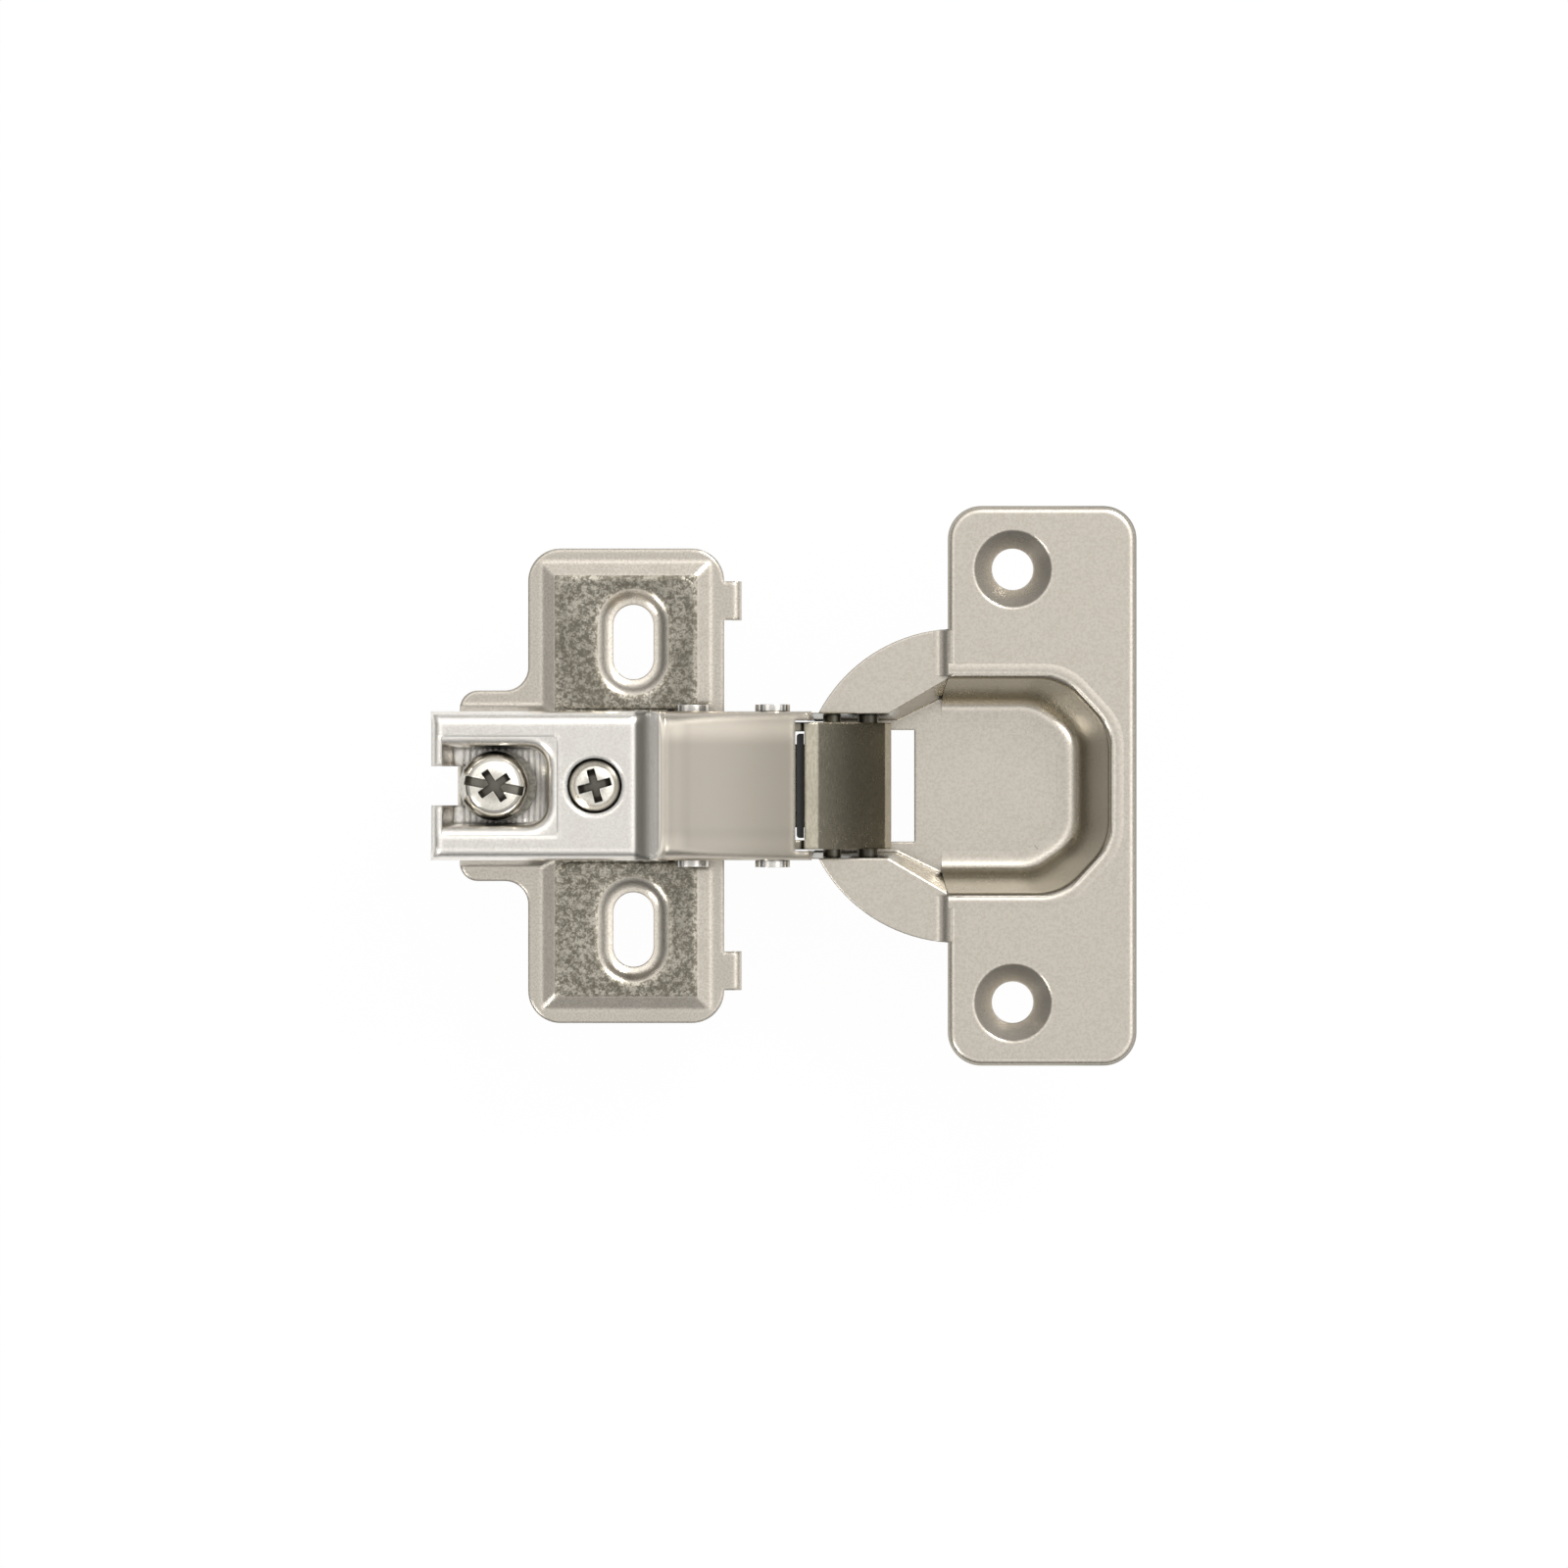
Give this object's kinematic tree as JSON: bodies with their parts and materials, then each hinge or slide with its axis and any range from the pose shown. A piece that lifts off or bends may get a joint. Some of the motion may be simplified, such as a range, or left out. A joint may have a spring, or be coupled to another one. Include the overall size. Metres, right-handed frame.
{
  "type": "concealed cabinet hinge",
  "caption": "Short-arm concealed hinge for a face-frame cabinet: slotted T-plate, clamped adjustable arm, spring-loaded links and a 35 mm winged cup",
  "frame": {"origin": "on the mounting plane, midway between the two slots of the mounting plate", "axes": "+Z out of the mounting plane, +Y along the frame and the line of the slots, +X towards the cup and the door"},
  "size_m": [0.0779, 0.062, 0.0182],
  "materials": {
    "mounting_plate": "bright nickel plate, pads with a fine mottle",
    "arm": "bright nickel plate",
    "clamp_screw": "nickel plate, turned",
    "clamp_washer": "knurled, darker plate",
    "clamp_nut": "nickel plate, turned",
    "overlay_screw": "nickel plate, turned",
    "front_rivet": "nickel plate",
    "rear_rivet": "nickel plate",
    "outer_link": "nickel plate, darker",
    "inner_link": "nickel plate",
    "cup": "satin nickel plate",
    "outer_cup_pin_left": "nickel plate",
    "outer_cup_pin_right": "nickel plate",
    "inner_cup_pin": "nickel plate",
    "spring_shoe": "black nylon",
    "closing_spring": "drawn spring wire"
  },
  "bodies": {
    "plate": {"mounting_plate": "mounting_plate", "clamp_nut": "clamp_nut", "clamp_washer": "clamp_washer"},
    "clamp_screw": {"clamp_screw": "clamp_screw"},
    "arm": {"arm": "arm", "front_rivet": "front_rivet", "rear_rivet": "rear_rivet", "closing_spring": "closing_spring"},
    "overlay_screw": {"overlay_screw": "overlay_screw"},
    "outer_link": {"outer_link": "outer_link", "spring_shoe": "spring_shoe"},
    "inner_link": {"inner_link": "inner_link"},
    "cup": {"cup": "cup", "outer_cup_pin_left": "outer_cup_pin_left", "outer_cup_pin_right": "outer_cup_pin_right", "inner_cup_pin": "inner_cup_pin"}
  },
  "joints": [
    {"name": "arm_slide", "type": "slide", "parent": "plate", "child": "arm", "axis": [1, 0, 0], "range_m": [-0.0006, 0.0006]},
    {"name": "clamp_turn", "type": "hinge", "parent": "plate", "child": "clamp_screw", "pos_m": [-0.0151, 0, 0.0101], "axis": [0, 0, 1], "range_deg": [-180, 180]},
    {"name": "overlay_turn", "type": "hinge", "parent": "arm", "child": "overlay_screw", "pos_m": [-0.00407, 0, 0.0101], "axis": [0, 0, 1], "range_deg": [-180, 180]},
    {"name": "outer_link_turn", "type": "hinge", "parent": "arm", "child": "outer_link", "pos_m": [0.0155, 0, 0.0096], "axis": [0, -1, 0], "range_deg": [-43, 7.5]},
    {"name": "cup_fold", "type": "hinge", "parent": "outer_link", "child": "cup", "pos_m": [0.0261, 0, 0.00076], "axis": [0, -1, 0], "range_deg": [-22, 132.6]},
    {"name": "inner_link_turn", "type": "hinge", "parent": "arm", "child": "inner_link", "pos_m": [0.0065, 0, 0.0038], "axis": [0, -1, 0], "range_deg": [-39, 7]}
  ],
  "couplings": [
    {"joint": "outer_link_turn", "follows": "cup_fold", "ratio": -0.32162},
    {"joint": "inner_link_turn", "follows": "cup_fold", "ratio": -0.29072}
  ]
}
